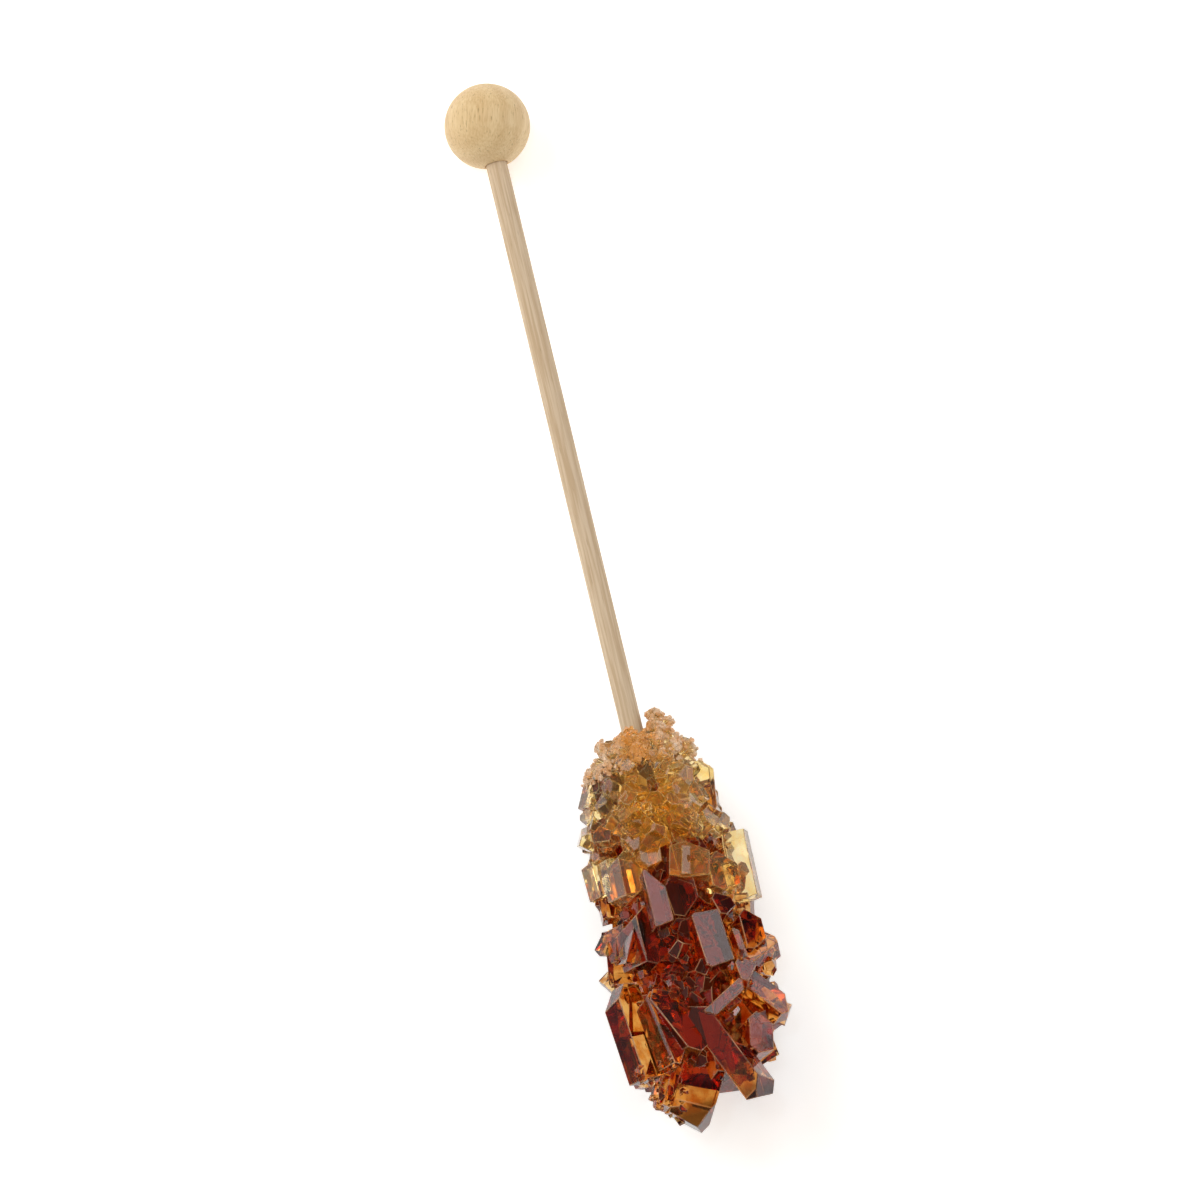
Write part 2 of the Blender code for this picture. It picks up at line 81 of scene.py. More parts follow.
# The crystals that give the front its look, from the tip up: middle, size (width, length, thickness),
# turn (swing, rise, roll) and, where they matter, the slopes of the ends
frontCrystals = {
    "tip prism": dict(
        at=(-1.9, 7.0, 2.3), size=(6.0, 14.6, 4.8), turn=(-29, 0, -10), ridge=0.28, tip=(14, 62), nose=2.8
    ),
    "tip step": dict(at=(-6.3, 6.0, 2.7), size=(2.6, 6.0, 3.4), turn=(-26, 4, 10), tip=(10, 20)),
    "tip sliver": dict(at=(-6.7, 7.0, 1.2), size=(2.2, 5.0, 3.4), turn=(-26, 4, 20), tip=(10, 20)),
    "low right prism": dict(
        at=(2.5, 8.8, 6.0), size=(4.0, 16.0, 4.5), turn=(22, 6, -38), tip=(26, 40), chamfer=0.7, nose=0.9
    ),
    "big left block": dict(
        at=(-9.6, 14.6, 2.9), size=(4.0, 13.8, 3.1), turn=(5, 0, 33), tip=(5, 8), tail=(50, 12)
    ),
    "left dark prism": dict(at=(-6.0, 13.5, 5.0), size=(2.4, 11.0, 4.2), turn=(9, 2, 17), tip=(30, 50)),
    "dark red prism": dict(at=(-4.4, 13.8, 4.7), size=(3.8, 11.0, 5.2), turn=(24, 3, 21), tip=(50, 10)),
    "low right block": dict(at=(6.3, 10.5, 3.0), size=(3.3, 6.0, 4.6), turn=(-11, 4, 10), tip=(46, 12)),
    "spear": dict(at=(7.7, 17.0, 2.8), size=(2.6, 12.0, 3.4), turn=(38, 2, 8), tip=(30, 50)),
    "pentagon": dict(at=(6.5, 18.5, 6.8), size=(2.7, 3.8, 4.4), turn=(6, 6, 6), tip=(36, 46)),
    "bar": dict(at=(3.2, 15.6, 6.9), size=(1.7, 7.0, 4.2), turn=(-59, 4, -4), tip=(10, 30)),
    "small square": dict(
        at=(0.8, 20.4, 7.4), size=(1.7, 2.1, 3.6), turn=(-39, 6, 6), tip=(8, 8), tail=(8, 8)
    ),
    "front plate": dict(
        at=(2.7, 23.6, 7.0), size=(3.8, 8.0, 5.6), turn=(4, 3, 5), ridge=-0.2, tip=(44, 4), tail=(33, 6)
    ),
    "strip": dict(at=(6.7, 21.5, 7.0), size=(0.9, 6.6, 2.6), turn=(5, 2, 8), tip=(20, 10)),
    "knuckle": dict(at=(8.5, 21.2, 2.7), size=(2.8, 8.0, 4.2), turn=(117, -2, 2), tip=(12, 24)),
    "right waist": dict(at=(8.2, 24.4, 4.0), size=(3.0, 5.8, 4.8), turn=(1, 4, 16), tip=(14, 30)),
    "left small slab": dict(
        at=(-8.2, 27.6, 0.9), size=(1.9, 4.9, 4.0), turn=(-6, 0, 22), tip=(4, 6), tail=(8, 4)
    ),
    "left waist": dict(at=(-5.3, 26.6, 3.9), size=(4.4, 8.4, 6.0), turn=(0, 2, 18), tip=(20, 30)),
    "left waist strip": dict(at=(-7.3, 26.6, 4.2), size=(1.2, 6.2, 4.0), turn=(-26, -3, 6), tip=(10, 20)),
    "spike": dict(at=(-0.9, 24.1, 7.0), size=(2.2, 4.6, 2.4), turn=(-14, 62, 20)),
    "right middle block": dict(at=(5.3, 28.4, 4.9), size=(2.6, 3.6, 4.2), turn=(16, 6, 18), tip=(30, 20)),
    "centre block": dict(at=(0.7, 30.7, 5.7), size=(3.8, 6.0, 5.0), turn=(6, 2, -9), tip=(30, 36)),
    "left plate": dict(
        at=(-2.8, 31.0, 6.6), size=(2.6, 8.2, 5.0), turn=(0, 3, -2), ridge=-0.1, tip=(4, 10), tail=(6, 55)
    ),
    "right amber block": dict(at=(6.2, 33.2, 4.6), size=(4.0, 5.6, 5.0), turn=(-2, 2, 14), tip=(30, 12)),
    "right slab": dict(
        at=(10.0, 34.0, 3.4), size=(3.5, 9.8, 3.0), turn=(-1, 0, -28), tip=(5, 4), tail=(4, 6), cap=1.6
    ),
    "top block": dict(
        at=(2.9, 35.1, 6.2), size=(5.6, 5.2, 5.4), turn=(-14, 4, -12), tip=(12, 4), tail=(14, 24)
    ),
    "top strip": dict(
        at=(2.2, 35.2, 7.8), size=(1.2, 4.2, 3.0), turn=(-14, 4, -1), tip=(4, 4), tail=(4, 4)
    ),
    "left clear slab": dict(
        at=(-9.4, 36.9, 1.0), size=(2.3, 5.2, 2.8), turn=(2, 0, 18), tip=(6, 12), tail=(10, 6)
    ),
    "left clear block": dict(
        at=(-7.9, 36.6, 2.7), size=(1.9, 4.8, 3.0), turn=(-2, 0, 20), tip=(10, 6), tail=(14, 10)
    ),
    "left gold block": dict(at=(-6.1, 35.6, 4.3), size=(3.2, 6.8, 4.6), turn=(-1, 2, 18), tip=(24, 34)),
    "upper plate": dict(at=(-2.6, 38.6, 5.9), size=(2.9, 6.4, 4.6), turn=(-6, 4, 6), tip=(50, 20)),
    "left point": dict(at=(-8.8, 43.0, -0.1), size=(2.9, 4.4, 4.2), turn=(-78, 0, 12)),
    "left pale stub": dict(at=(-8.0, 46.3, 0.0), size=(2.2, 3.2, 3.6), turn=(-12, 0, 10)),
    "left pale prism": dict(
        at=(-6.8, 49.3, 0.8), size=(2.5, 6.0, 3.4), turn=(-26, 0, 14), tip=(10, 30), tail=(4, 22)
    ),
    "upper left block": dict(
        at=(-4.5, 49.7, 3.0), size=(3.2, 4.4, 4.2), turn=(-8, 0, 14), tip=(20, 12), tail=(8, 16)
    ),
    "right dark stub": dict(at=(8.5, 40.7, 1.4), size=(2.0, 3.4, 3.2), turn=(36, 0, 8)),
    "right pale column": dict(at=(7.6, 46.1, 0.7), size=(2.8, 7.8, 4.6), turn=(-8, 0, -10), tip=(12, 24)),
}

# Lumps of grains round the dowel where it comes out: middle, spread and number of stout grains
crustLumps = {
    "left lump": ((-2.7, 54.2, 0.6), 2.7, 10),
    "front lump": ((0.8, 53.8, 1.9), 2.3, 6),
    "back lump": ((0.4, 54.4, -2.0), 2.4, 7),
    "right lump": ((3.8, 56.7, 0.3), 2.1, 9),
    "right neck": ((3.4, 54.4, 0.4), 2.2, 6),
    "right shoulder": ((5.6, 52.2, 0.0), 2.3, 6),
}

# The three crystals that bear on the table
feetCrystals = {
    "left foot": dict(at=(-4.6, 12.5, -7.2), size=(5.4, 9.6, 6.0), turn=(-14, 0, 170), tip=(20, 40)),
    "right foot": dict(at=(5.2, 16.0, -7.4), size=(5.6, 10.4, 5.8), turn=(18, 0, 186), tip=(30, 24)),
    "upper foot": dict(at=(-1.4, 34.6, -7.2), size=(6.2, 11.0, 6.0), turn=(6, 0, 184), tip=(12, 36)),
}


def layDown():
    # From the stick's frame in metres to the table: the axis falls from the candy to the ball
    low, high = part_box("stick")
    ballHeight = wood["ballRadius"] - lie["ballFlat"]
    fall = math.atan2(lie["height"] - ballHeight, wood["ballStation"] - lie["station"])
    back = Matrix.Translation((0.0, -lie["stickMiddle"] * mm, 0.0))
    return Matrix.Translation((low + high) / 2) @ Matrix.Rotation(-fall, 4, "X") @ back


def reach(station):
    for (low, near), (high, far) in zip(reachAt, reachAt[1:]):
        if station <= high:
            return near + (far - near) * (station - low) / (high - low)
    return reachAt[-1][1]


# Faces of rounded edges have this material number until the crystals have grown together
wornFace = 1
slotFiller = [bpy.data.materials.new(name) for name in ("flatFace", "wornFace")]


def crystalMesh(body):
    mesh = bpy.data.meshes.new("crystal")
    for material in slotFiller:
        mesh.materials.append(material)
    body.to_mesh(mesh)
    body.free()
    return mesh


def sliceOff(body, point, normal):
    everything = body.verts[:] + body.edges[:] + body.faces[:]
    cut = bmesh.ops.bisect_plane(
        body, geom=everything, dist=0.0005, plane_co=point, plane_no=normal, clear_outer=True
    )
    rim = [item for item in cut["geom_cut"] if isinstance(item, bmesh.types.BMEdge)]
    if rim:
        bmesh.ops.edgeloop_fill(body, edges=rim)


def crystal(size, ridge=0.0, tip=None, tail=None, chamfer=0.0, cap=0.0, nose=0.0, worn=0.0):
    # A sugar crystal: a leaning block whose ends are roofs of two faces, the tip at -Y, its edges
    # worn round by that much. An end's slopes are those of its left and right face.
    width, length, thick = size
    slope = growth["endSlope"]
    body = bmesh.new()
    bmesh.ops.create_cube(body, size=1.0)
    for vert in body.verts:
        vert.co = Vector((vert.co.x * width, vert.co.y * length, vert.co.z * thick))
        vert.co.x += vert.co.z * growth["sugarLean"]
    for end, slopes in ((-1, tip or (slope, slope)), (1, tail or (slope, slope))):
        top = Vector((ridge * width, end * length / 2, 0.0))
        for side, degrees in zip((-1, 1), slopes):
            angle = math.radians(degrees)
            sliceOff(body, top, Vector((side * math.sin(angle), end * math.cos(angle), 0.0)))
    if chamfer:
        corner = Vector((-width / 2 + chamfer, 0.0, thick / 2))
        sliceOff(body, corner, Vector((-0.8, 0.0, 0.6)))
    for end, depth, steep in ((1, cap, 0.5), (-1, nose, 0.55)):
        if depth:
            rim = Vector((0.0, end * (length / 2 - depth), thick / 2))
            sliceOff(body, rim, Vector((0.0, end * steep, 1.0)).normalized())
    bmesh.ops.recalc_face_normals(body, faces=body.faces)
    if worn:
        for face in bmesh.ops.bevel(
            body, geom=body.edges[:], offset=worn, segments=2, profile=0.5, affect="EDGES", clamp_overlap=True
        )["faces"]:
            face.material_index = wornFace
    return body


def turnedBy(swing, rise, roll, around=0.0):
    # Swing turns the tip to the right, rise lifts it to the front, roll turns the face to the right,
    # and around carries the whole about the stick's axis
    turn = Matrix.Rotation(math.radians(around), 4, "Y")
    turn = turn @ Matrix.Rotation(math.radians(swing), 4, "Z")
    turn = turn @ Matrix.Rotation(math.radians(-rise), 4, "X")
    return turn @ Matrix.Rotation(math.radians(roll), 4, "Y")


def coreBlocks(chance):
    blocks = []
    station = 10.0
    while station < 50.0:
        across = min(0.85 * station, 1.2 * reach(station))
        size = (across, 11.0, across * chance.uniform(0.82, 0.95))
        roll = 45.0 + 90.0 * chance.randrange(4) + chance.uniform(-14, 14)
        turn = (chance.uniform(-12, 12), chance.uniform(-8, 8), roll)
        blocks.append(dict(at=(0.0, station, 0.0), size=size, turn=turn, tip=(20, 35), tail=(35, 20)))
        station += 5.4
    return blocks


def roundBlocks(chance):
    # The crystals of the sides and the back, in rings that grow larger towards the tip
    blocks = []
    station = 10.0
    ring = 0
    while station < 50.0:
        bulk = 1.0 - 0.01 * station
        for step in range(6):
            around = 60.0 * step + 30.0 * (ring % 2) + chance.uniform(-14, 14)
            size = (5.0 * bulk * chance.uniform(0.7, 1.2), 10.5 * bulk * chance.uniform(0.7, 1.2), 4.8 * bulk)
            turn = (chance.uniform(-32, 32), chance.uniform(-4, 24), chance.uniform(-18, 18))
            slopes = (chance.uniform(8, 48), chance.uniform(8, 48))
            height = station + chance.uniform(-1.0, 2.0)
            out = reach(height) - 0.42 * size[2] - chance.uniform(0.0, 0.8)
            facing = math.radians(around)
            if math.cos(facing) < 0.25:
                place = (out * math.sin(facing), height, out * math.cos(facing))
                blocks.append(dict(at=place, size=size, turn=turn, around=around, tip=slopes))
        station += 6.4 * bulk
        ring += 1
    return blocks


def topBlocks(chance, count=72):
    # Short crystals all round above the big ones, finer and finer up to the crust
    blocks = []
    for step in range(count):
        station = 40.0 + 15.5 * ((step + 0.5) / count) ** 1.1
        around = step * growth["goldenTurn"] + chance.uniform(-10, 10)
        bulk = 1.0 - 0.5 * (station - 40.0) / 15.5
        size = (2.9 * bulk * chance.uniform(0.7, 1.3), 4.2 * bulk * chance.uniform(0.7, 1.3), 3.0 * bulk)
        turn = (chance.uniform(-60, 60), chance.uniform(0, 50), chance.uniform(-30, 30))
        out = 0.94 * reach(station) - 0.4 * size[2]
        facing = math.radians(around)
        place = (out * math.sin(facing), station, out * math.cos(facing))
        blocks.append(dict(at=place, size=size, turn=turn, around=around))
    return blocks


def crustBlocks(chance):
    blocks = []
    for middle, spread, count in crustLumps.values():
        for step in range(count):
            aside = Vector([chance.uniform(-1, 1) for axis in range(3)]).normalized()
            size = [spread * chance.uniform(0.6, 0.9) for axis in range(3)]
            turn = [chance.uniform(0, 180) for axis in range(3)]
            blocks.append(dict(at=Vector(middle) + aside * spread * 0.65, size=size, turn=turn))
    return blocks


def blockMesh(at, size, turn, around=0.0, **shape):
    body = crystal(size, **shape)
    body.transform(Matrix.Translation(at) @ turnedBy(*turn, around))
    return crystalMesh(body)


def add(name, mesh):
    thing = bpy.data.objects.new(name, mesh)
    bpy.context.scene.collection.objects.link(thing)
    return thing


def settle(thing):
    bpy.context.view_layer.update()
    seen = thing.evaluated_get(bpy.context.evaluated_depsgraph_get())
    mesh = bpy.data.meshes.new_from_object(seen)
    thing.modifiers.clear()
    thing.data = mesh


def grownTogether(name, meshes):
    # One closed body out of many crystals
    pile = bpy.data.collections.new("pile")
    bpy.context.scene.collection.children.link(pile)
    whole = add(name, meshes[0])
    for mesh in meshes[1:]:
        pile.objects.link(bpy.data.objects.new("crystal", mesh))
    union = whole.modifiers.new("grow", "BOOLEAN")
    union.operation = "UNION"
    union.operand_type = "COLLECTION"
    union.collection = pile
    union.solver = "MANIFOLD"
    settle(whole)
    for thing in list(pile.objects):
        bpy.data.objects.remove(thing)
    bpy.data.collections.remove(pile)
    return whole


def surfaceSpots(body, chance, count, stations, crevice=0.0, thin=1.0):
    # Places on the candy, seen from outside: where, which way is out and how shut in it is (0 to 1)
    tree = BVHTree.FromBMesh(body)
    spots = []
    low, high = stations
    for step in range(count):
        station = low + (high - low) * chance.random() ** thin
        facing = chance.uniform(0, math.tau)
        start = Vector((30.0 * math.sin(facing), station + chance.uniform(-4, 4), 30.0 * math.cos(facing)))
        spot, normal, face, distance = tree.ray_cast(start, Vector((0.0, station, 0.0)) - start)
        if spot is None or (lay @ (spot * mm)).z < 0.0009:
            continue
        shut = 0
        for turn in range(8):
            aside = normal.orthogonal().normalized()
            aside.rotate(Matrix.Rotation(math.tau * turn / 8, 3, normal))
            ray = (aside + normal * 0.5).normalized()
            if tree.ray_cast(spot + normal * 0.05, ray, 2.2)[0] is not None:
                shut += 1
        if shut / 8 >= crevice:
            spots.append((spot, normal, shut / 8))
    return spots


def grownOn(spot, normal, size, chance, sunk=0.3, stray=0.5, worn=0.0):
    # A small crystal half sunk in the surface, its long side along it
    out = (normal + Vector([chance.uniform(-stray, stray) for axis in range(3)])).normalized()
    turn = out.to_track_quat("Z", "Y").to_matrix().to_4x4()
    turn = turn @ Matrix.Rotation(chance.uniform(0, math.tau), 4, "Z")
    slopes = (chance.uniform(5, 50), chance.uniform(5, 50))
    body = crystal(size, ridge=chance.uniform(-0.25, 0.25), tip=slopes, worn=worn)
    body.transform(Matrix.Translation(spot + out * size[2] * (0.5 - sunk)) @ turn)
    return crystalMesh(body)


def cutBelowTable(thing, lay):
    # Takes off what would lie under the table's surface
    body = bmesh.new()
    body.from_mesh(thing.data)
    up = (lay.inverted().to_3x3() @ Vector((0.0, 0.0, 1.0))).normalized()
    ground = lay.inverted() @ Vector((0.0, 0.0, 0.0)) / mm
    sliceOff(body, ground, -up)
    body.to_mesh(thing.data)
    body.free()


def markWorn(thing):
    # The rounded edges carry a mark that the sugar material reads: it makes them rougher and milkier, as frosted wear,
    # and paints a cream highlight on them
    marks = [float(face.material_index == wornFace) for face in thing.data.polygons]
    worn = thing.data.attributes.new("worn", "FLOAT", "FACE")
    worn.data.foreach_set("value", marks)
    for face in thing.data.polygons:
        face.material_index = 0


def laid(thing, lay):
    thing.data.transform(lay @ Matrix.Scale(mm, 4))


def srgb(code):
    # "#rrggbb" as a linear colour
    channels = [int(code[start:start + 2], 16) / 255 for start in (1, 3, 5)]
    linear = [c / 12.92 if c <= 0.04045 else ((c + 0.055) / 1.055) ** 2.4 for c in channels]
    return (*linear, 1.0)


def addNode(tree, kind, links=None, **settings):
    # One node: settings are its own choices, links gives its sockets their values or what feeds them
    node = tree.nodes.new("ShaderNode" + kind)
    for name, value in settings.items():
        setattr(node, name, value)
    for name, value in (links or {}).items():
        socket = node.inputs[name]
        if isinstance(value, bpy.types.NodeSocket):
            tree.links.new(value, socket)
        else:
            socket.default_value = value
    return node


def newMaterial(name):
    material = bpy.data.materials.new(name)
    material.use_nodes = True
    tree = material.node_tree
    return material, tree, tree.nodes["Principled BSDF"]


def stickPlace(tree):
    # Where a point is in the stick's own frame, in metres, so that patterns run along the dowel
    back = lay.inverted()
    place = addNode(tree, "TexCoord").outputs["Object"]
    turn = addNode(
        tree, "Mapping", {"Vector": place, "Location": back.translation, "Rotation": back.to_euler()}
    )
    return turn.outputs["Vector"]


def perMetre(acrossMm, alongMm):
    # A pattern's scale along X, Y and Z from the size of its marks
    return (1.0 / (acrossMm * mm), 1.0 / (alongMm * mm), 1.0 / (acrossMm * mm))


# Cane sugar that grew slowly from syrup, clear with amber syrup in it. It swallows blue first, so thin
# edges look honey and the thick middle dark red-brown; the faces are flat and glassy as they grew.
clusterLook = dict(
    ior=1.54, density=600.0, absorbs=(0.893, 0.63, 0.09), clear="#FFF4DC", deep="#F29A60", stain="#D89A58", tip="#8C7650",
    smooth=0.02, dull=0.12, bump=0.05, milky=0.0, deepMilky=0.02,
    deepFrom=0.008, deepTo=0.033, deepSoft=0.008, deepWithin=0.0075, lets=0.8,
    # edge: a cream painted highlight on the rounded edges; edgeRough and edgeMilky make them frosted
    edge="#FFCB8C", edgeRough=0.35, edgeMilky=0.40,
)
upperLook = dict(
    ior=1.54, density=80.0, absorbs=(0.95, 0.72, 0.16), clear="#FFF6D0", deep="#FFBE4C", stain="#FCE094", tip="#FFF6D0",
    smooth=0.03, dull=0.12, bump=0.10, milky=0.04, deepMilky=0.13,
    deepFrom=0.030, deepTo=0.0515, deepSoft=0.005, deepWithin=0.0080, lets=0.97,
    # edge: a pale yellow painted highlight on the rounded edges; edgeRough and edgeMilky make them frosted
    edge="#FFE090", edgeRough=0.30, edgeMilky=0.30,
)
crustLook = dict(
    ior=1.54, density=30.0, absorbs=(0.92, 0.72, 0.30), clear="#FFE0C0", deep="#FFC070", stain="#F4BE88", tip="#FFE0C0",
    smooth=0.12, dull=0.35, bump=0.25, milky=0.50, deepMilky=0.40,
    deepFrom=0.030, deepTo=0.062, deepSoft=0.004, deepWithin=0.0040, lets=0.95,
    # edge: a cream painted highlight on the rounded edges; edgeRough and edgeMilky make them frosted
    edge="#FFE8CC", edgeRough=0.40, edgeMilky=0.50,
)


def sugar(name, look):
    material, tree, shader = newMaterial(name)
    place = stickPlace(tree)
    along = addNode(tree, "SeparateXYZ", {"Vector": place})
    mottle = addNode(tree, "TexNoise", {"Vector": place, "Scale": 260.0, "Detail": 3.0})
    aside = addNode(tree, "Math", {0: along.outputs["X"]}, operation="ABSOLUTE")
    middle = addNode(
        tree, "MapRange",
        {"Value": aside.outputs[0], "From Min": look["deepWithin"], "From Max": look["deepWithin"] * 0.3},
        interpolation_type="SMOOTHSTEP"
    )
    under = addNode(
        tree, "MapRange",
        {"Value": along.outputs["Y"], "From Min": look["deepTo"] + look["deepSoft"],
         "From Max": look["deepTo"] - look["deepSoft"]},
        interpolation_type="SMOOTHSTEP"
    )
    over = addNode(
        tree, "MapRange",
        {"Value": along.outputs["Y"], "From Min": look["deepFrom"] - 0.003, "From Max": look["deepFrom"] + 0.003},
        interpolation_type="SMOOTHSTEP"
    )
    between = addNode(tree, "Math", {0: over.outputs["Result"], 1: under.outputs["Result"]}, operation="MULTIPLY")
    deep = addNode(tree, "Math", {0: middle.outputs["Result"], 1: between.outputs[0]}, operation="MULTIPLY")
    # Syrup shut in between the layers of growth: soft stains about 1.4 mm wide and 2 mm long
    drawn = addNode(tree, "Mapping", {"Vector": place, "Scale": perMetre(1.4, 2.0)})
    streaks = addNode(tree, "TexNoise", {"Vector": drawn.outputs["Vector"], "Scale": 1.0, "Detail": 3.0})
    stained = addNode(tree, "MapRange", {"Value": streaks.outputs["Fac"], "From Min": 0.44, "From Max": 0.60})
    amber = addNode(
        tree, "Mix", {"Factor": stained.outputs["Result"], "A": srgb(look["clear"]), "B": srgb(look["stain"])},
        data_type="RGBA"
    )
    # The sugar is browner over the last three millimetres of the tip
    nearTip = addNode(
        tree, "MapRange", {"Value": along.outputs["Y"], "From Min": 0.0034, "From Max": 0.0026}
    )
    tipped = addNode(
        tree, "Mix", {"Factor": nearTip.outputs["Result"], "A": amber.outputs["Result"], "B": srgb(look["tip"])},
        data_type="RGBA"
    )
    tint = addNode(
        tree, "Mix", {"Factor": deep.outputs[0], "A": tipped.outputs["Result"], "B": srgb(look["deep"])},
        data_type="RGBA"
    )
    rough = addNode(
        tree, "MapRange",
        {"Value": mottle.outputs["Fac"], "From Min": 0.35, "From Max": 0.7,
         "To Min": look["smooth"], "To Max": look["dull"]}
    )
    grain = addNode(tree, "TexNoise", {"Vector": place, "Scale": 900.0, "Detail": 4.0})
    bump = addNode(tree, "Bump", {"Height": grain.outputs["Fac"], "Strength": look["bump"], "Distance": 0.00006})
    mark = addNode(tree, "Attribute", attribute_name="worn")
    patchy = addNode(
        tree, "MapRange",
        {"Value": mottle.outputs["Fac"], "From Min": 0.40, "From Max": 0.60, "To Min": 0.35, "To Max": 1.0}
    )
    worn = addNode(tree, "Math", {0: mark.outputs["Fac"], 1: patchy.outputs["Result"]}, operation="MULTIPLY")
    # Rounded edges: rougher and milkier as frosted wear, plus a cream painted highlight that stands in for the light
    # their rims catch
    frostAndEdgeHighlight = addNode(
        tree, "Mix", {"Factor": worn.outputs[0], "A": tint.outputs["Result"], "B": srgb(look["edge"])},
        data_type="RGBA"
    )
    dulled = addNode(tree, "Mix", {"Factor": worn.outputs[0], "A": rough.outputs["Result"], "B": look["edgeRough"]})
    cloudy = addNode(
        tree, "MapRange", {"Value": deep.outputs[0], "To Min": 1.0 - look["milky"], "To Max": 1.0 - look["deepMilky"]}
    )
    clear = addNode(
        tree, "Mix", {"Factor": worn.outputs[0], "A": cloudy.outputs["Result"], "B": 1.0 - look["edgeMilky"]}
    )
    tree.links.new(frostAndEdgeHighlight.outputs["Result"], shader.inputs["Base Color"])
    tree.links.new(dulled.outputs["Result"], shader.inputs["Roughness"])
    tree.links.new(clear.outputs["Result"], shader.inputs["Transmission Weight"])
    tree.links.new(bump.outputs["Normal"], shader.inputs["Normal"])
    shader.inputs["IOR"].default_value = look["ior"]
    path = addNode(tree, "LightPath")
    through = addNode(tree, "BsdfTransparent", {"Color": (*[look["lets"]] * 3, 1.0)})
    mix = addNode(tree, "MixShader", {0: path.outputs["Is Shadow Ray"], 1: shader.outputs[0], 2: through.outputs[0]})
    ink = addNode(tree, "VolumeAbsorption", {"Color": (*look["absorbs"], 1.0), "Density": look["density"]})
    output = tree.nodes["Material Output"]
    tree.links.new(mix.outputs[0], output.inputs["Surface"])
    tree.links.new(ink.outputs[0], output.inputs["Volume"])
    return material


def glowingTable(colour, glow):
    # Opal acrylic, lit a little from below as under product shots, so that clear sugar shows its amber
    material, tree, shader = newMaterial("opalTable")
    shader.inputs["Base Color"].default_value = srgb(colour)
    shader.inputs["Roughness"].default_value = 0.6
    shader.inputs["Emission Color"].default_value = srgb(colour)
    shader.inputs["Emission Strength"].default_value = glow
    return material


# Birch dowel, drawn through a die and left bare: straight pale grain about a quarter of a millimetre
# apart, short dark vessels, a dull surface, and syrup soaked into what the crystals cover
dowelLook = dict(
    pale="#E6CFB0", brown="#CDB08C", vessel="#9C7C58", soaked="#6B3A18",
    grainAcross=0.30, grainAlong=9.0, vesselAcross=0.16, vesselAlong=2.6,
    bandAcross=1.3, bandAlong=60.0, soakedTo=0.0545, groove=0.012,
)


def birchDowel(look):
    material, tree, shader = newMaterial("birchDowel")
    place = stickPlace(tree)
    marks = {}
    for name in ("grain", "vessel", "band"):
        scaled = addNode(
            tree, "Mapping", {"Vector": place, "Scale": perMetre(look[name + "Across"], look[name + "Along"])}
        )
        marks[name] = addNode(
            tree, "TexNoise", {"Vector": scaled.outputs["Vector"], "Scale": 1.0, "Detail": 3.0}
        ).outputs["Fac"]
    shade = addNode(
        tree, "MapRange", {"Value": marks["grain"], "From Min": 0.38, "From Max": 0.62, "To Min": 0.0, "To Max": 0.75}
    )
    band = addNode(
        tree, "MapRange", {"Value": marks["band"], "From Min": 0.3, "From Max": 0.7, "To Min": 0.0, "To Max": 0.45}
    )
    darker = addNode(tree, "Math", {0: shade.outputs[0], 1: band.outputs[0]}, operation="ADD")
    wood = addNode(
        tree, "Mix", {"Factor": darker.outputs[0], "A": srgb(look["pale"]), "B": srgb(look["brown"])},
        data_type="RGBA"
    )
    fleck = addNode(
        tree, "MapRange", {"Value": marks["vessel"], "From Min": 0.66, "From Max": 0.74, "To Max": 0.5}
    )
    flecked = addNode(
        tree, "Mix", {"Factor": fleck.outputs[0], "A": wood.outputs["Result"], "B": srgb(look["vessel"])},
        data_type="RGBA"
    )
    along = addNode(tree, "SeparateXYZ", {"Vector": place})
    wet = addNode(
        tree, "MapRange",
        {"Value": along.outputs["Y"], "From Min": look["soakedTo"] + 0.0015, "From Max": look["soakedTo"] - 0.0015}
    )
    soaked = addNode(
        tree, "Mix", {"Factor": wet.outputs[0], "A": flecked.outputs["Result"], "B": srgb(look["soaked"])},
        data_type="RGBA"
    )
    bump = addNode(tree, "Bump", {"Height": marks["grain"], "Strength": 0.5, "Distance": 0.00004})
    dull = addNode(tree, "MapRange", {"Value": marks["grain"], "To Min": 0.5, "To Max": 0.72})
    tree.links.new(soaked.outputs["Result"], shader.inputs["Base Color"])
    tree.links.new(dull.outputs["Result"], shader.inputs["Roughness"])
    tree.links.new(bump.outputs["Normal"], shader.inputs["Normal"])
    return material


# The ball is turned from the same timber and sanded: growth rings about a millimetre apart that the
# round cuts into arcs, and short ray flecks along the grain where it is cut flat
ballLook = dict(
    pale="#F0D2A0", brown="#D4AC74", fleck="#9C7446", ring=1.25, pithAside=(21.0, 0.0, -26.0),
    grainAcross=0.22, grainAlong=3.2, lean=14.0, fleckAcross=0.22, fleckAlong=1.3,
)


